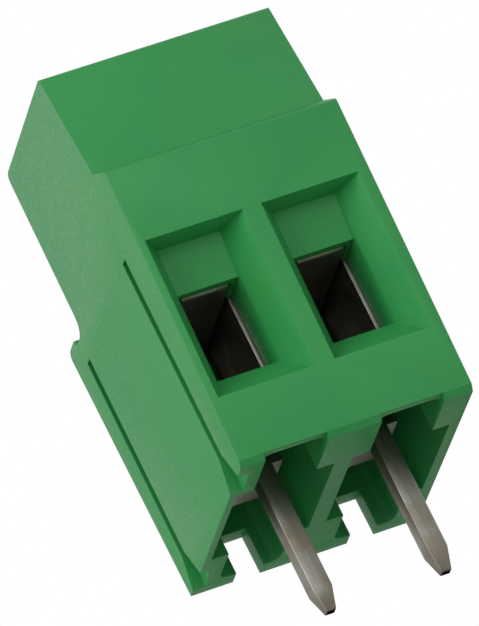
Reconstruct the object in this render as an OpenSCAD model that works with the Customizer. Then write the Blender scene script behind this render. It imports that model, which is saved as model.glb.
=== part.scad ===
// Two-pole board terminal with rising-cage wire clamps.
// Frame: X along the row of poles, Y from the wire side to the back, Z up from the board.
// The origin lies in the board plane, midway between the two clamp axes.

/* [Block] */
// Distance from one pole to the next
pitch = 5.08; // [5:0.01:6.35]
// Height of the top face above the board
height = 18.85; // [18:0.05:22]
// Depth of the block, from the nose of the wire side to the back of the step
depth = 12.5; // [12.2:0.1:15]
// Distance from the nose of the wire side back to the clamp axes
axis_depth = 5.9; // [5.7:0.1:6.4]
// Distance from the left side to the first clamp axis
left_margin = 2.46; // [2.42:0.01:3]

/* [Wire side] */
// Height of the nose, where the lower front face meets the ledge
nose_h = 13.25; // [12.6:0.05:14]
// How far the lower front face leans in at the board
front_lean = 0.78; // [0.3:0.02:0.9]
// Depth of the sloped ledge above the nose
ledge_depth = 1.25; // [0.8:0.05:1.5]
// Rise of the sloped ledge
ledge_rise = 0.65; // [0.3:0.05:1]
// How far the upper front face leans back at the top
brow_lean = 0.75; // [0.3:0.05:1]
// Bevel along the foot of the front face
foot_bevel = 0.25; // [0.1:0.05:0.4]

/* [Back] */
// Height of the floor of the back step
step_h = 11.4; // [10.9:0.1:12.5]
// Depth of the back step
step_depth = 2.45; // [1.8:0.05:2.8]
// Height of the rim along the step's outer edge
rim_rise = 0.3; // [0.1:0.05:0.6]
// Width of that rim
rim_w = 1.15; // [0.6:0.05:1.3]
// Lean of the upper back face
upper_back_lean = 0.15; // [0:0.05:0.4]
// Lean of the lower back face
lower_back_lean = 0.38; // [0:0.02:0.6]
// Radius in the inner corner of the step
step_fillet = 0.7; // [0.3:0.05:1]
// Radius on the outer corners of the step and the top
corner_r = 0.35; // [0.15:0.05:0.5]

/* [Wire entry] */
// Width of the funnel mouth
mouth_w = 4.3; // [3.8:0.05:4.4]
// Height of the mouth's lower lip above the board
mouth_low = 2.98; // [2.7:0.02:3.3]
// Height of the mouth's upper edge
mouth_high = 10.05; // [9.6:0.05:10.8]
// Width of the throat behind the funnel
throat_w = 2.76; // [2.4:0.02:3]
// Height of the throat's floor
throat_low = 4.15; // [3.9:0.05:4.5]
// Height of the throat's roof
throat_high = 8.1; // [7.9:0.05:8.6]
// Depth of the funnel, from the nose to the throat
funnel_depth = 1.9; // [1.6:0.05:2.2]
// How much further forward the funnel's back wall stands at its top
hood_set = 0.35; // [0:0.05:0.6]

/* [Underside] */
// Width of the cage shaft inside the housing
shaft_w = 4.3; // [4.2:0.02:4.5]
// Width of the hollows in front of and behind the cage shaft
pocket_w = 2.76; // [2.4:0.02:3]
// Height of the hollow under the wire entry
front_pocket_h = 2.2; // [1.6:0.1:2.3]
// Height of the hollow behind the contact bar
rear_pocket_h = 9.6; // [8:0.1:10]
// Thickness of the front wall at the hollow, below the nose
front_wall = 1.15; // [1.1:0.05:1.4]
// Thickness of the back wall
back_wall = 1.15; // [0.9:0.05:1.4]
// Radius in the corners of the hollows
pocket_r = 0.45; // [0.2:0.05:0.6]
// Width of the notch in the back wall at each pole
notch_w = 1.2; // [0.8:0.1:1.6]
// Height of the notch
notch_h = 1.7; // [1:0.1:2.2]
// How far the front wall stops short of the board at each hollow
arch_h = 0.25; // [0.05:0.05:0.5]

/* [Side dovetails] */
// Distance from the nose to the front dovetail
front_dovetail = 2.45; // [2.3:0.05:2.6]
// Distance from the nose to the back dovetail
back_dovetail = 10.85; // [10.6:0.05:11.1]
// Height of the top of the grooves
groove_top = 10.45; // [9:0.05:11]
// Width of a groove at the surface
groove_mouth = 0.46; // [0.4:0.02:0.7]
// Width of a groove at its floor
groove_floor = 0.8; // [0.7:0.02:1]
// Depth of a groove
groove_depth = 0.5; // [0.4:0.02:0.55]
// Height over which a groove flares open at the board
flare_h = 1.3; // [0.8:0.1:2]
// Width of the flare at the board
flare_w = 1.6; // [1:0.1:1.8]
// Play of a tongue in its groove, on each side
dovetail_play = 0.05; // [0.02:0.01:0.08]

/* [Screw] */
// Thread diameter
screw_d = 2.5; // [2:0.1:2.5]
// Head diameter
head_d = 3.7; // [3.4:0.05:3.8]
// Head height
head_h = 1.6; // [1.2:0.05:1.8]
// Width of the driver slot
slot_w = 0.6; // [0.4:0.05:0.8]
// Depth of the driver slot
slot_depth = 0.8; // [0.5:0.05:1]
// Radial play of the head in its chamber, and of the thread in the cage
screw_play = 0.05; // [0.03:0.01:0.08]
// Radial play of the thread in the housing
shank_play = 0.15; // [0.1:0.01:0.25]
// Depth of the access hole above the snap rim
access_depth = 2.25; // [2:0.05:3]
// Diameter of the access hole
access_d = 4.1; // [3.9:0.05:4.2]
// How far the snap rim reaches in over the head
snap_rim = 0.1; // [0.05:0.01:0.12]
// Height of the snap rim
rim_h = 0.15; // [0.1:0.05:0.3]
// Thickness of the shoulder that the head bears on
shoulder_t = 0.6; // [0.5:0.05:0.8]

/* [Clamp cage] */
// Outside width of the cage
cage_w = 3.9; // [3.8:0.02:4]
// Length of the cage along the wire
cage_len = 4.4; // [4:0.05:4.5]
// Thickness of the cage's side walls
cage_wall = 0.7; // [0.5:0.02:0.75]
// Thickness of the cage's floor
cage_floor = 0.8; // [0.6:0.05:1]
// Thickness of the folded, tapped cage top
cage_top = 1.6; // [1.2:0.05:1.7]
// Height of the cage's inner floor with the clamp open
open_floor = 4.6; // [4.5:0.02:4.8]
// Travel of the cage from open to closed
travel = 3.1; // [2.8:0.02:3.2]
// Bend radius inside the cage
bend_r = 0.25; // [0.1:0.05:0.4]
// Depth of the grip grooves in the cage floor
grip_depth = 0.15; // [0.05:0.05:0.25]
// Gap between the cage and the front of its shaft
cage_gap = 0.15; // [0.1:0.01:0.25]

/* [Contact bar] */
// Thickness of the bar
bar_t = 0.8; // [0.6:0.05:0.9]
// Width of the tongue inside the cage
tongue_w = 2.1; // [1.8:0.1:2.2]
// Distance from the throat's mouth back to the tip of the tongue
tongue_set = 0.4; // [0.3:0.05:0.8]
// Height of the tongue's contact face
contact_h = 8; // [7.9:0.02:8.1]
// Gap between the bar and the cage round it
bar_gap = 0.2; // [0.15:0.01:0.3]
// Height of the bottom of the bar's foot
foot_h = 1.6; // [1.2:0.05:1.8]
// Height of the retaining shoulders on the riser
shoulder_low = 3.2; // [3:0.1:4]
// Length of the retaining shoulders
shoulder_len = 3.4; // [2:0.1:4.5]
// Width of the solder pin
pin_w = 0.85; // [0.7:0.05:1.1]
// Offset of the pin from the clamp axis, to the right
pin_set = 0.15; // [-0.4:0.05:0.4]
// Length of the solder pin below the board plane
pin_len = 4.95; // [3:0.05:5.2]
// Length of the taper at the pin's tip
pin_taper = 0.95; // [0.4:0.05:1.2]

/* [Hidden] */
$fn = 48;
over = 1;                       // overshoot of a cut past the surface it opens
bend_steps = 6;                 // straight pieces in each rounded corner
head_seat_gap = 0.05;           // gap under the screw head at rest
head_rim_gap = 0.1;             // gap between the screw head and the snap rim
screw_bevel = 0.2;              // bevel at the screw's tip
head_bevel = 0.1;               // bevel round the top of the head
tongue_end_gap = 0.5;           // gap between a tongue's top and the top of its groove
tongue_play = 0.1;              // play of the contact tongue in its seat above the throat

poles = [-pitch / 2, pitch / 2];
left_x = poles[0] - left_margin;
block_w = 2 * pitch;
right_x = left_x + block_w;
nose_y = -axis_depth;
back_y = nose_y + depth;
step_y = back_y - step_depth;
throat_y = nose_y + funnel_depth;
face_lean = atan2(front_lean, nose_h);
taper_depth = funnel_depth - front_lean * (1 - throat_low / nose_h);
tongue_tip = throat_y + tongue_set;
shaft_front = -cage_len / 2 - cage_gap;
riser_front = cage_len / 2 + bar_gap;
riser_back = riser_front + bar_t;
bar_top = contact_h + bar_t;
cage_inner_top = bar_top + bar_gap;
cage_low = open_floor - cage_floor;
cage_high = cage_inner_top + cage_top;
chamber_top = height - access_depth - rim_h;
shoulder_top = chamber_top - head_rim_gap - head_h - head_seat_gap;
shaft_top = shoulder_top - shoulder_t;
head_low = shoulder_top + head_seat_gap;
screw_tip = cage_inner_top + head_seat_gap;

// Unit vector along v
function unit(v) = v / norm(v);

// Points of corner q, between p and s, rounded to radius r
function corner(p, q, s, r) =
    let (u = unit(p - q), v = unit(s - q), half = acos(u * v) / 2)
    let (c = q + unit(u + v) * r / sin(half), a = q + u * r / tan(half) - c)
    let (start = atan2(a[1], a[0]), turn = 180 - 2 * half)
    let (way = u[0] * v[1] - u[1] * v[0] > 0 ? -1 : 1)
    [for (i = [0:bend_steps]) c + r * [cos(start + way * turn * i / bend_steps),
                                       sin(start + way * turn * i / bend_steps)]];

// Outline through corners [x, y, r], each rounded to its own radius
function rounded(c) = let (n = len(c)) [for (i = [0:n - 1])
    let (p = c[(i + n - 1) % n], q = c[i], s = c[(i + 1) % n])
    each q[2] == 0 ? [[q[0], q[1]]]
                   : corner([p[0], p[1]], [q[0], q[1]], [s[0], s[1]], q[2])];

// Extrudes a side outline, given as [y, z] points, from x0 along X
module from_side(x0, len) translate([x0, 0, 0]) rotate([90, 0, 90]) linear_extrude(len) children();

// Extrudes a front outline, given as [x, z] points, from y0 along Y
module from_front(y0, len) translate([0, y0 + len, 0]) rotate([90, 0, 0]) linear_extrude(len) children();

// Side outline of the moulded block
module block_outline() polygon(rounded([
    [nose_y + front_lean + foot_bevel, 0, 0],
    [back_y - lower_back_lean, 0, 0],
    [back_y, step_h + rim_rise, corner_r],
    [back_y - rim_w, step_h + rim_rise, rim_rise / 3],
    [back_y - rim_w - rim_rise / 2, step_h, rim_rise / 3],
    [step_y, step_h, step_fillet],
    [step_y - upper_back_lean, height, corner_r],
    [nose_y + ledge_depth + brow_lean, height, corner_r / 2],
    [nose_y + ledge_depth, nose_h + ledge_rise, 0],
    [nose_y, nose_h, corner_r / 2],
    [nose_y + front_lean, foot_bevel, 0]]));

// Funnel and throat for one wire; the funnel tapers in on all four sides and leans with the front face
module wire_entry() {
    intersection() {
        translate([0, nose_y + front_lean, 0]) rotate([face_lean, 0, 0]) linear_extrude(height) polygon([
            [-mouth_w / 2, -over], [mouth_w / 2, -over], [mouth_w / 2, 0],
            [throat_w / 2, taper_depth], [throat_w / 2, 2 * funnel_depth],
            [-throat_w / 2, 2 * funnel_depth], [-throat_w / 2, taper_depth], [-mouth_w / 2, 0]]);
        from_side(-mouth_w, 2 * mouth_w) polygon([
            [nose_y - over, mouth_low], [nose_y + front_lean, mouth_low], [throat_y, throat_low],
            [throat_y, throat_high], [throat_y - hood_set, mouth_high], [nose_y - over, mouth_high]]);
    }
    translate([-throat_w / 2, throat_y - over / 10, throat_low])
        cube([throat_w, shaft_front - throat_y + over, throat_high - throat_low]);
    translate([-tongue_w / 2 - tongue_play, tongue_tip, contact_h - tongue_play])
        cube([tongue_w + 2 * tongue_play, shaft_front - tongue_tip + over, bar_t + tongue_play]);
}

// Rectangular hollow that opens at the board, with rounded upright corners at its far end
module pocket(w, y0, y1, h, r0, r1) translate([0, 0, -over]) linear_extrude(h + over)
    polygon(rounded([[-w / 2, y0, r0], [w / 2, y0, r0], [w / 2, y1, r1], [-w / 2, y1, r1]]));

// Everything that is hollow round one clamp, about its own axis
module clamp_hollow() {
    wire_entry();
    pocket(pocket_w, nose_y + front_wall, shaft_front + over, front_pocket_h, pocket_r, 0);
    pocket(shaft_w, shaft_front, riser_front + over / 10, shaft_top, 0, 0);
    pocket(shaft_w, riser_front, riser_back, bar_top, 0, 0);
    pocket(pocket_w, riser_back - over / 2, back_y - back_wall, rear_pocket_h, 0, pocket_r);
    translate([-pocket_w / 2, nose_y - over, -over]) cube([pocket_w, front_wall + 2 * over, over + arch_h]);
    translate([-notch_w / 2, riser_back, -over])
        cube([notch_w, back_y - riser_back + over, notch_h + over]);
    translate([0, 0, shaft_top - over]) cylinder(h = over + shoulder_t + over, d = screw_d + 2 * shank_play);
    translate([0, 0, shoulder_top]) cylinder(h = chamber_top - shoulder_top, d = head_d + 2 * screw_play);
    translate([0, 0, chamber_top - over / 10])
        cylinder(h = rim_h + over / 5, d = head_d - 2 * snap_rim);
    translate([0, 0, chamber_top + rim_h]) cylinder(h = access_depth + over, d = access_d);
    translate([0, 0, height - corner_r / 2])
        cylinder(h = corner_r, d1 = access_d, d2 = access_d + 2 * corner_r);
}

// Dovetail section: narrow at the side face, wide at its floor; play narrows it for a tongue
module dovetail(depth_x, play) polygon([
    [0, -groove_mouth / 2 + play], [depth_x, -groove_floor / 2 + play],
    [depth_x, groove_floor / 2 - play], [0, groove_mouth / 2 - play]]);

// Groove that takes the neighbour's tongue, flared open at the board
module groove(y) translate([left_x, y, 0]) {
    translate([0, 0, -over]) linear_extrude(groove_top + over) dovetail(groove_depth, 0);
    translate([-over, 0, 0]) linear_extrude(groove_top) square([2 * over, groove_mouth], center = true);
    from_side(-over, over + groove_depth) polygon([
        [-flare_w / 2, -over], [flare_w / 2, -over], [flare_w / 2, 0],
        [groove_mouth / 2, flare_h], [-groove_mouth / 2, flare_h], [-flare_w / 2, 0]]);
}

// Tongue that hooks into the neighbour's groove; its ends stop clear of the groove's ends
module tongue(y) translate([right_x, y, flare_h + dovetail_play])
    linear_extrude(groove_top - flare_h - tongue_end_gap)
        polygon([[-over / 2, -groove_mouth / 2 + dovetail_play], [0, -groove_mouth / 2 + dovetail_play],
                 [groove_depth - dovetail_play, -groove_floor / 2 + dovetail_play],
                 [groove_depth - dovetail_play, groove_floor / 2 - dovetail_play],
                 [0, groove_mouth / 2 - dovetail_play], [-over / 2, groove_mouth / 2 - dovetail_play]]);

// One-piece moulded housing
module housing() color([0.25, 0.55, 0.32]) {
    difference() {
        from_side(left_x, block_w) block_outline();
        for (x = poles) translate([x, 0, 0]) clamp_hollow();
        for (y = [front_dovetail, back_dovetail]) groove(nose_y + y);
    }
    for (y = [front_dovetail, back_dovetail]) tongue(nose_y + y);
}

// Captive slotted clamp screw
module clamp_screw(x) color([0.78, 0.78, 0.76]) translate([x, 0, 0]) difference() {
    rotate_extrude() polygon([
        [0, screw_tip], [screw_d / 2 - screw_bevel, screw_tip],
        [screw_d / 2, screw_tip + screw_bevel], [screw_d / 2, head_low],
        [head_d / 2, head_low], [head_d / 2, head_low + head_h - head_bevel],
        [head_d / 2 - head_bevel, head_low + head_h], [0, head_low + head_h]]);
    translate([-slot_w / 2, -head_d, head_low + head_h - slot_depth])
        cube([slot_w, 2 * head_d, slot_depth + over]);
}

// Bent clamp cage: open at the front and back, tapped through its folded top
module clamp_cage(x) color([0.72, 0.72, 0.7]) translate([x, 0, 0]) difference() {
    from_front(-cage_len / 2, cage_len) difference() {
        polygon(rounded([for (p = [[-1, 0], [1, 0], [1, 1], [-1, 1]])
            [p[0] * cage_w / 2, cage_low + p[1] * (cage_high - cage_low), bend_r + cage_wall / 2]]));
        polygon(rounded([for (p = [[-1, 0], [1, 0], [1, 1], [-1, 1]])
            [p[0] * (cage_w / 2 - cage_wall), open_floor + p[1] * (cage_inner_top - open_floor), bend_r]]));
    }
    translate([0, 0, cage_inner_top - over / 2]) cylinder(h = cage_top + over, d = screw_d + 2 * screw_play);
    for (i = [-1:1]) translate([0, i * cage_len / 4, open_floor]) rotate([45, 0, 0])
        cube([cage_w - 2 * cage_wall - 2 * bend_r, grip_depth * sqrt(2), grip_depth * sqrt(2)], center = true);
}

// Stamped contact bar: tongue inside the cage, riser behind it, foot below it, and the solder pin
module contact_bar(x) color([0.66, 0.64, 0.6]) translate([x, 0, 0]) {
    from_side(-tongue_w / 2, tongue_w) polygon(rounded([
        [-bar_t / 2, foot_h, 0], [riser_back, foot_h, bar_t], [riser_back, bar_top, bar_t / 2],
        [tongue_tip, bar_top, 0], [tongue_tip, contact_h, bend_r],
        [riser_front, contact_h, 0], [riser_front, foot_h + bar_t, bar_t / 4],
        [-bar_t / 2, foot_h + bar_t, 0]]));
    translate([-shaft_w / 2, riser_front, shoulder_low]) cube([shaft_w, bar_t, shoulder_len]);
    translate([pin_set, 0, 0]) intersection() {
        from_side(-pin_w, 2 * pin_w) pin_outline(bar_t);
        from_front(-pin_w, 2 * pin_w) pin_outline(pin_w);
    }
}

// Outline of the solder pin, w wide, with its tapered tip
module pin_outline(w) polygon([
    [-w / 2, foot_h + bar_t / 2], [-w / 2, -pin_len + pin_taper], [-w / 4, -pin_len],
    [w / 4, -pin_len], [w / 2, -pin_len + pin_taper], [w / 2, foot_h + bar_t / 2]]);

housing();
clamp_screw(poles[0]);  // clamp_screw_1
clamp_screw(poles[1]);  // clamp_screw_2
clamp_cage(poles[0]);  // clamp_cage_1
clamp_cage(poles[1]);  // clamp_cage_2
contact_bar(poles[0]);  // contact_bar_1
contact_bar(poles[1]);  // contact_bar_2
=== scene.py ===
"""A two-pole screw terminal for circuit boards, dressed for rendering.

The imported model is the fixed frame: every piece sits where its solid sits, in metres,
+X along the row of poles, +Y to the back and +Z up from the board."""
from math import pi, radians

import bmesh
import bpy
from mathutils import Matrix, Vector


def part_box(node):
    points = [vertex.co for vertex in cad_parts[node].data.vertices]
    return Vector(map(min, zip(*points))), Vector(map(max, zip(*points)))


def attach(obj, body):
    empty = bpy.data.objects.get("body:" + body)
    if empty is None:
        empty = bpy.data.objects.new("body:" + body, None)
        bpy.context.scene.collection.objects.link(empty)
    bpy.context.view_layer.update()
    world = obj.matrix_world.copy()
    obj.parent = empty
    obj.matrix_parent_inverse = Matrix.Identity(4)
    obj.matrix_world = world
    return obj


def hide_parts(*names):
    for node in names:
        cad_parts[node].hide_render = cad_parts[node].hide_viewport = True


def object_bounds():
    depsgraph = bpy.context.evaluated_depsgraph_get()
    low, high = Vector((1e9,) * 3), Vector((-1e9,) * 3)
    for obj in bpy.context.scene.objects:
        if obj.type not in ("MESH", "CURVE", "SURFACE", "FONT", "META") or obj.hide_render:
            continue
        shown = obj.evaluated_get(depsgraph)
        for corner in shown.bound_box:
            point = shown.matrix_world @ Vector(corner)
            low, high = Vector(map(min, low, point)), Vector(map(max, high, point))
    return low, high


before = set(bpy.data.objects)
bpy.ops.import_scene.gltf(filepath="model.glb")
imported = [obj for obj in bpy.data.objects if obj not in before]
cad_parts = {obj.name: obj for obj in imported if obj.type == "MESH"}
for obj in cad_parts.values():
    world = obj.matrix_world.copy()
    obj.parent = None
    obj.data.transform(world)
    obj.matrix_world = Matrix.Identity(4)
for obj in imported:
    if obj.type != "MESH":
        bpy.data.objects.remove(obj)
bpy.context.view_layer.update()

# ---------------------------------------------------------------------------------------------
# Housing: one injection moulding in green polyamide 66. The mould is spark eroded, which leaves a
# fine satin grain, and every edge of the moulding has a small radius that catches the light.
MM = 0.001
EDGE_RADIUS = 0.07          # mm, on the moulding's outer and inner edges
JOIN_DISTANCE = 0.0005      # mm, within which a solid's doubled vertices are one
FLAT_ANGLE = radians(0.5)   # faces that meet flatter than this are one face
ROUNDED_ANGLE = radians(31)  # edges that turn more than this get the radius
SHARP_ANGLE = radians(38)   # and what is left sharper than this shades as an edge
GRAIN = 0.16                # mm between the peaks of the grain, coarser than the real 0.03 to show
GREEN = "#298C45"
GREEN_WARM = "#378F43"
GREEN_COOL = "#1C864B"


def linear(hex_colour):
    """An sRGB hex colour as the linear RGBA that Blender's sockets take."""
    channels = [int(hex_colour[i:i + 2], 16) / 255 for i in (1, 3, 5)]
    return (*[c / 12.92 if c <= 0.04045 else ((c + 0.055) / 1.055) ** 2.4 for c in channels], 1)


def add_node(tree, kind, inputs=None, **settings):
    """Adds a node; each of its inputs is given a value or linked to another node's output."""
    node = tree.nodes.new(kind)
    for name, value in settings.items():
        setattr(node, name, value)
    for socket, value in (inputs or {}).items():
        if isinstance(value, bpy.types.NodeSocket):
            tree.links.new(value, node.inputs[socket])
        else:
            node.inputs[socket].default_value = value
    return node


def new_material(name):
    """An empty node material, and the object coordinates that all its patterns use."""
    material = bpy.data.materials.new(name)
    material.use_nodes = True
    tree = material.node_tree
    tree.nodes.clear()
    return material, tree, add_node(tree, "ShaderNodeTexCoord").outputs["Object"]


def rounded_copy(node, name, radius, material):
    """A copy of a solid with its triangles joined up and its edges rounded to a radius in mm."""
    shape = bmesh.new()
    shape.from_mesh(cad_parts[node].data)
    bmesh.ops.scale(shape, vec=Vector((1, 1, 1)) / MM, verts=shape.verts)
    bmesh.ops.remove_doubles(shape, verts=shape.verts, dist=JOIN_DISTANCE)
    bmesh.ops.dissolve_limit(shape, angle_limit=FLAT_ANGLE, verts=shape.verts, edges=shape.edges)
    mesh = bpy.data.meshes.new(name)
    shape.to_mesh(mesh)
    shape.free()
    piece = bpy.data.objects.new(name, mesh)
    bpy.context.scene.collection.objects.link(piece)
    bevel = piece.modifiers.new("edge radius", "BEVEL")
    bevel.width = radius
    bevel.segments = 3
    bevel.limit_method = "ANGLE"
    bevel.angle_limit = ROUNDED_ANGLE
    bevel.harden_normals = True
    bevel.use_clamp_overlap = True
    mesh.shade_smooth()
    evaluated = piece.evaluated_get(bpy.context.evaluated_depsgraph_get())
    piece.data = bpy.data.meshes.new_from_object(evaluated)
    piece.modifiers.clear()
    piece.data.transform(Matrix.Scale(MM, 4))
    piece.data.set_sharp_from_angle(angle=SHARP_ANGLE)
    piece.data.materials.clear()
    piece.data.materials.append(material)
    return piece


def moulded_polyamide():
    """Satin polyamide: the grain breaks up the gloss, and the pigment varies a little in tone."""
    material, tree, place = new_material("green moulded polyamide")
    cloud = add_node(tree, "ShaderNodeTexNoise", {"Vector": place, "Scale": 1 / (3.5 * MM), "Detail": 3.0})
    streak_place = add_node(tree, "ShaderNodeMapping", {"Vector": place, "Scale": (1.0, 1.0, 0.35)})
    streak = add_node(tree, "ShaderNodeTexNoise",
                      {"Vector": streak_place.outputs["Vector"], "Scale": 1 / (1.1 * MM), "Detail": 2.0})
    grain = add_node(tree, "ShaderNodeTexNoise", {"Vector": place, "Scale": 1 / (GRAIN * MM), "Detail": 2.0})
    tone = add_node(tree, "ShaderNodeMix", {"Factor": cloud.outputs["Fac"], "A": linear(GREEN_COOL),
                                            "B": linear(GREEN_WARM)}, data_type="RGBA")
    streaked = add_node(tree, "ShaderNodeMapRange", {"Value": streak.outputs["Fac"], "From Min": 0.35,
                                                     "From Max": 0.65, "To Min": 0.0, "To Max": 0.5})
    colour = add_node(tree, "ShaderNodeMix",
                      {"Factor": streaked.outputs["Result"], "A": tone.outputs["Result"],
                       "B": linear(GREEN)}, data_type="RGBA")
    gloss = add_node(tree, "ShaderNodeMapRange", {"Value": grain.outputs["Fac"], "From Min": 0.3,
                                                  "From Max": 0.7, "To Min": 0.36, "To Max": 0.5})
    bump = add_node(tree, "ShaderNodeBump", {"Height": grain.outputs["Fac"], "Strength": 0.35,
                                             "Distance": 0.02 * MM})
    shader = add_node(tree, "ShaderNodeBsdfPrincipled",
                      {"Base Color": colour.outputs["Result"], "Roughness": gloss.outputs["Result"],
                       "Normal": bump.outputs["Normal"], "IOR": 1.53, "Specular IOR Level": 0.36})
    add_node(tree, "ShaderNodeOutputMaterial", {"Surface": shader.outputs["BSDF"]})
    return material


housing = rounded_copy("housing", "housing_moulding", EDGE_RADIUS, moulded_polyamide())
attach(housing, "housing")
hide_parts("housing")

# ---------------------------------------------------------------------------------------------
# Contact bars: brass strip, stamped to shape and tin plated. The plating is dull, with rolling
# lines along the strip and a brown tarnish in patches.
STRIP_EDGE = 0.05           # mm
ROLLING_LINE = 0.09         # mm between the lines
TIN = "#9C9B93"
TIN_DARK = "#75746D"
TARNISH = "#85796A"


def plated_strip(name, light, dark, stain, line, roughness):
    """Plated strip metal: fine lines along the strip, soft patches, and a stain in places."""
    material, tree, place = new_material(name)
    along = add_node(tree, "ShaderNodeMapping", {"Vector": place, "Scale": (1.0, 1.0, 0.06)})
    lines = add_node(tree, "ShaderNodeTexNoise",
                     {"Vector": along.outputs["Vector"], "Scale": 1 / (line * MM), "Detail": 3.0})
    patch = add_node(tree, "ShaderNodeTexNoise", {"Vector": place, "Scale": 1 / (1.3 * MM), "Detail": 4.0})
    worn = add_node(tree, "ShaderNodeMapRange", {"Value": patch.outputs["Fac"], "From Min": 0.38,
                                                 "From Max": 0.66, "To Min": 0.0, "To Max": 0.85})
    metal = add_node(tree, "ShaderNodeMix", {"Factor": lines.outputs["Fac"], "A": linear(dark),
                                             "B": linear(light)}, data_type="RGBA")
    colour = add_node(tree, "ShaderNodeMix", {"Factor": worn.outputs["Result"], "A": metal.outputs["Result"],
                                              "B": linear(stain)}, data_type="RGBA")
    gloss = add_node(tree, "ShaderNodeMapRange", {"Value": patch.outputs["Fac"], "From Min": 0.3,
                                                  "From Max": 0.7, "To Min": roughness - 0.08,
                                                  "To Max": roughness + 0.12})
    bump = add_node(tree, "ShaderNodeBump", {"Height": lines.outputs["Fac"], "Strength": 0.4,
                                             "Distance": 0.01 * MM})
    shader = add_node(tree, "ShaderNodeBsdfPrincipled",
                      {"Base Color": colour.outputs["Result"], "Roughness": gloss.outputs["Result"],
                       "Normal": bump.outputs["Normal"], "Metallic": 1.0})
    add_node(tree, "ShaderNodeOutputMaterial", {"Surface": shader.outputs["BSDF"]})
    return material


tinned_brass = plated_strip("dull tinned brass", TIN, TIN_DARK, TARNISH, ROLLING_LINE, 0.42)
for pole in (1, 2):
    bar = rounded_copy(f"contact_bar_{pole}", f"contact_strip_{pole}", STRIP_EDGE, tinned_brass)
    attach(bar, "housing")
    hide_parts(f"contact_bar_{pole}")

# ---------------------------------------------------------------------------------------------
# Clamp cages: steel strip folded into a square loop, tapped through the doubled top and nickel
# plated, so they stay bright where they show in the wire entries.
CAGE_EDGE = 0.06            # mm
CAGE_LINE = 0.12            # mm between the strip's rolling lines
NICKEL = "#B9B6B0"
NICKEL_DARK = "#8E8C88"
OIL_FILM = "#8A857A"

nickel_steel = plated_strip("nickel plated steel strip", NICKEL, NICKEL_DARK, OIL_FILM, CAGE_LINE, 0.42)
for pole in (1, 2):
    cage = rounded_copy(f"clamp_cage_{pole}", f"folded_cage_{pole}", CAGE_EDGE, nickel_steel)
    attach(cage, f"cage_{pole}")
    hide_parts(f"clamp_cage_{pole}")

# ---------------------------------------------------------------------------------------------
# Clamp screws: M2.5, cold headed and rolled, zinc plated. The head and its driver slot are the
# solid's own; the rolled thread winds round a core under the head.
THREAD_PITCH = 0.45         # mm
THREAD_RADIUS = 1.25        # mm, over the crests
CORE_RADIUS = 0.98          # mm, at the roots
CREST_WIDTH = 0.06          # mm
ROOT_SHARE = 0.86           # of the pitch, the width of the rib at its root
HEAD_HEIGHT = 1.6           # mm
HEAD_EDGE = 0.05            # mm
HEAD_OVERLAP = 0.15         # mm of the solid's shank kept under the head, where the thread starts
THREAD_GAP = 0.1            # mm from the thread's last turn to the head
DRAWN_LINE = 0.1            # mm between the wire's drawing lines
SCREW_SHARP = radians(35)
ZINC = "#B4B5B2"
ZINC_DARK = "#8A8B89"
ZINC_CLOUD = "#A39F90"


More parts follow.
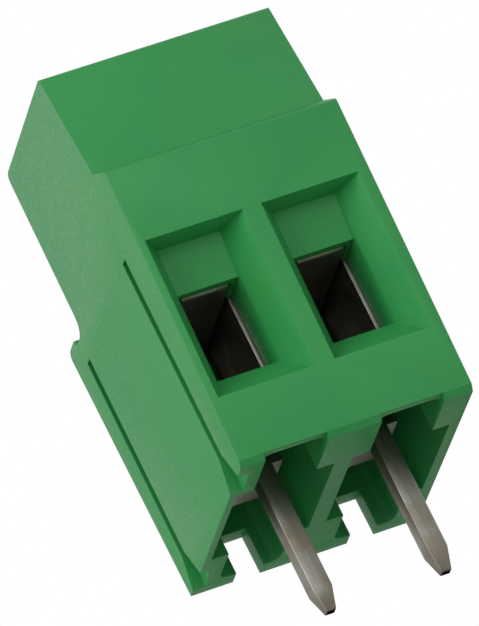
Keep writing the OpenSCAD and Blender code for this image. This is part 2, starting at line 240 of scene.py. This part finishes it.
def thread_tree():
    """A helical thread on a core, from a spiral swept with the thread's section."""
    tree = bpy.data.node_groups.new("rolled thread", "GeometryNodeTree")
    inputs = {}
    for name in ("Pitch", "Crest Radius", "Core Radius", "Crest Width", "Length", "Finish"):
        kind = "NodeSocketMaterial" if name == "Finish" else "NodeSocketFloat"
        inputs[name] = tree.interface.new_socket(name, in_out="INPUT", socket_type=kind).identifier
    tree.interface.new_socket("Geometry", in_out="OUTPUT", socket_type="NodeSocketGeometry")
    given = add_node(tree, "NodeGroupInput").outputs
    root = add_node(tree, "ShaderNodeMath", {0: given["Pitch"], 1: ROOT_SHARE}, operation="MULTIPLY")
    run = add_node(tree, "ShaderNodeMath", {0: given["Length"], 1: root.outputs[0]}, operation="SUBTRACT")
    turns = add_node(tree, "ShaderNodeMath", {0: run.outputs[0], 1: given["Pitch"]}, operation="DIVIDE")
    middle = add_node(tree, "ShaderNodeMath", {0: given["Crest Radius"], 1: given["Core Radius"]},
                      operation="ADD")
    half = add_node(tree, "ShaderNodeMath", {0: middle.outputs[0], 1: 0.5}, operation="MULTIPLY")
    spiral = add_node(tree, "GeometryNodeCurveSpiral",
                      {"Resolution": 40, "Rotations": turns.outputs[0], "Start Radius": half.outputs[0],
                       "End Radius": half.outputs[0], "Height": run.outputs[0]})
    upright = add_node(tree, "GeometryNodeSetCurveNormal", {"Curve": spiral.outputs["Curve"]}, mode="Z_UP")
    depth = add_node(tree, "ShaderNodeMath", {0: given["Crest Radius"], 1: given["Core Radius"]},
                     operation="SUBTRACT")
    section = add_node(tree, "GeometryNodeCurvePrimitiveQuadrilateral",
                       {"Height": depth.outputs[0], "Bottom Width": root.outputs[0],
                        "Top Width": given["Crest Width"], "Offset": 0.0}, mode="TRAPEZOID")
    turned = add_node(tree, "GeometryNodeTransform", {"Geometry": section.outputs["Curve"],
                                                      "Rotation": (0, 0, pi / 2)})
    rib = add_node(tree, "GeometryNodeCurveToMesh", {"Curve": upright.outputs["Curve"], "Fill Caps": True,
                                                     "Profile Curve": turned.outputs["Geometry"]})
    start = add_node(tree, "ShaderNodeMath", {0: root.outputs[0], 1: 0.5}, operation="MULTIPLY")
    first = add_node(tree, "ShaderNodeCombineXYZ", {"Z": start.outputs[0]})
    seated = add_node(tree, "GeometryNodeTransform", {"Geometry": rib.outputs["Mesh"],
                                                      "Translation": first.outputs["Vector"]})
    core = add_node(tree, "GeometryNodeMeshCylinder", {"Vertices": 48, "Radius": given["Core Radius"],
                                                       "Depth": given["Length"]})
    lift = add_node(tree, "ShaderNodeMath", {0: given["Length"], 1: 0.5}, operation="MULTIPLY")
    raised = add_node(tree, "ShaderNodeCombineXYZ", {"Z": lift.outputs[0]})
    placed = add_node(tree, "GeometryNodeTransform", {"Geometry": core.outputs["Mesh"],
                                                      "Translation": raised.outputs["Vector"]})
    both = add_node(tree, "GeometryNodeJoinGeometry")
    tree.links.new(seated.outputs["Geometry"], both.inputs["Geometry"])
    tree.links.new(placed.outputs["Geometry"], both.inputs["Geometry"])
    real = add_node(tree, "GeometryNodeRealizeInstances", {"Geometry": both.outputs["Geometry"]})
    done = add_node(tree, "GeometryNodeSetMaterial", {"Geometry": real.outputs["Geometry"],
                                                      "Material": given["Finish"]})
    add_node(tree, "NodeGroupOutput", {"Geometry": done.outputs["Geometry"]})
    return tree, inputs


zinc_steel = plated_strip("zinc plated steel", ZINC, ZINC_DARK, ZINC_CLOUD, DRAWN_LINE, 0.34)
screw_thread, thread_inputs = thread_tree()
for pole in (1, 2):
    low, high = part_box(f"clamp_screw_{pole}")
    axis = (low + high) / 2
    under_head = high.z - HEAD_HEIGHT * MM

    head = rounded_copy(f"clamp_screw_{pole}", f"slotted_screw_{pole}", HEAD_EDGE, zinc_steel)
    cut = bmesh.new()
    cut.from_mesh(head.data)
    bmesh.ops.bisect_plane(cut, geom=cut.verts[:] + cut.edges[:] + cut.faces[:], dist=1e-8,
                           clear_inner=True, plane_co=(0, 0, under_head - HEAD_OVERLAP * MM),
                           plane_no=(0, 0, 1))
    bmesh.ops.holes_fill(cut, edges=[e for e in cut.edges if e.is_boundary])
    cut.to_mesh(head.data)
    cut.free()

    thread = bpy.data.objects.new("thread", bpy.data.meshes.new("thread"))
    bpy.context.scene.collection.objects.link(thread)
    winding = thread.modifiers.new("rolled thread", "NODES")
    winding.node_group = screw_thread
    for name, value in (("Pitch", THREAD_PITCH * MM), ("Crest Radius", THREAD_RADIUS * MM),
                        ("Core Radius", CORE_RADIUS * MM), ("Crest Width", CREST_WIDTH * MM),
                        ("Length", under_head - low.z - THREAD_GAP * MM), ("Finish", zinc_steel)):
        winding[thread_inputs[name]] = value
    evaluated = thread.evaluated_get(bpy.context.evaluated_depsgraph_get())
    wound = bpy.data.meshes.new_from_object(evaluated)
    wound.transform(Matrix.Translation((axis.x, axis.y, low.z)))
    joined = bmesh.new()
    joined.from_mesh(head.data)
    joined.from_mesh(wound)
    joined.to_mesh(head.data)
    joined.free()
    bpy.data.objects.remove(thread)
    head.data.set_sharp_from_angle(angle=SCREW_SHARP)
    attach(head, f"screw_{pole}")
    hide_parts(f"clamp_screw_{pole}")

# ---------------------------------------------------------------------------------------------
# Studio: white paper under the pins, in soft even light with a broad key from the left. It is
# seen from above only, so a view from below looks through it at the white room.
PAPER = "#F4F4F2"
BACKDROP_SIZE = 1.2         # m


def paper():
    """Matt white paper; from underneath the camera looks straight through it."""
    material, tree, _ = new_material("white studio paper")
    clear = add_node(tree, "ShaderNodeBsdfTransparent")
    ray = add_node(tree, "ShaderNodeLightPath")
    matt = add_node(tree, "ShaderNodeBsdfPrincipled", {"Base Color": linear(PAPER), "Roughness": 0.9})
    side = add_node(tree, "ShaderNodeNewGeometry")
    below = add_node(tree, "ShaderNodeMath", {0: ray.outputs["Is Camera Ray"], 1: side.outputs["Backfacing"]},
                     operation="MULTIPLY")
    mix = add_node(tree, "ShaderNodeMixShader", {0: below.outputs[0], 1: matt.outputs["BSDF"],
                                                 2: clear.outputs["BSDF"]})
    add_node(tree, "ShaderNodeOutputMaterial", {"Surface": mix.outputs["Shader"]})
    return material


floor_mesh = bpy.data.meshes.new("paper_floor")
reach = BACKDROP_SIZE / 2
floor_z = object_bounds()[0][2]
floor_mesh.from_pydata([(-reach, -reach, floor_z), (reach, -reach, floor_z), (reach, reach, floor_z),
                        (-reach, reach, floor_z)], [], [(0, 1, 2, 3)])
floor_mesh.materials.append(paper())
floor = bpy.data.objects.new("paper_floor", floor_mesh)
bpy.context.scene.collection.objects.link(floor)

world = bpy.data.worlds.new("white studio")
world.use_nodes = True
sky = world.node_tree
sky.nodes.clear()
seen = add_node(sky, "ShaderNodeLightPath")
even = add_node(sky, "ShaderNodeBackground", {"Color": (1, 1, 1, 1), "Strength": 0.42})
sheen = add_node(sky, "ShaderNodeBackground", {"Color": (1, 1, 1, 1), "Strength": 0.85})
white = add_node(sky, "ShaderNodeBackground", {"Color": (1, 1, 1, 1), "Strength": 1.0})
mirrored = add_node(sky, "ShaderNodeMixShader",
                    {0: seen.outputs["Is Glossy Ray"], 1: even.outputs["Background"],
                     2: sheen.outputs["Background"]})
shown = add_node(sky, "ShaderNodeMixShader", {0: seen.outputs["Is Camera Ray"], 1: mirrored.outputs["Shader"],
                                              2: white.outputs["Background"]})
add_node(sky, "ShaderNodeOutputWorld", {"Surface": shown.outputs["Shader"]})
bpy.context.scene.world = world

for name, place, size, power in (("left key", (-0.30, -0.20, 0.12), 0.25, 0.8),
                                 ("front fill", (-0.05, -0.36, 0.02), 0.25, 0.3)):
    lamp = bpy.data.lights.new(name, "AREA")
    lamp.size = size
    lamp.energy = power
    light = bpy.data.objects.new(name, lamp)
    light.location = place
    light.rotation_euler = (Vector((0, 0, 0.007)) - Vector(place)).to_track_quat("-Z", "Y").to_euler()
    bpy.context.scene.collection.objects.link(light)

# The camera looks up at the block from the front left, through a long lens.
CAMERA_PLACE = Vector((-0.13540583, -0.34256675, -0.13632893))
CAMERA_RIGHT = Vector((0.89260627, -0.17720322, -0.41455164))
CAMERA_UP = Vector((0.29415328, -0.46791918, 0.83338195))
CAMERA_BACK = Vector((-0.34165463, -0.86582369, -0.36554269))
lens = bpy.data.cameras.new("long lens")
lens.lens = 575.08
lens.sensor_width = 36
lens.clip_start, lens.clip_end = 0.01, 20
camera = bpy.data.objects.new("long lens", lens)
turn = Matrix((CAMERA_RIGHT, CAMERA_UP, CAMERA_BACK)).transposed().to_4x4()
camera.matrix_world = Matrix.Translation(CAMERA_PLACE) @ turn
bpy.context.scene.collection.objects.link(camera)
bpy.context.scene.camera = camera
bpy.context.scene.view_settings.view_transform = "Standard"
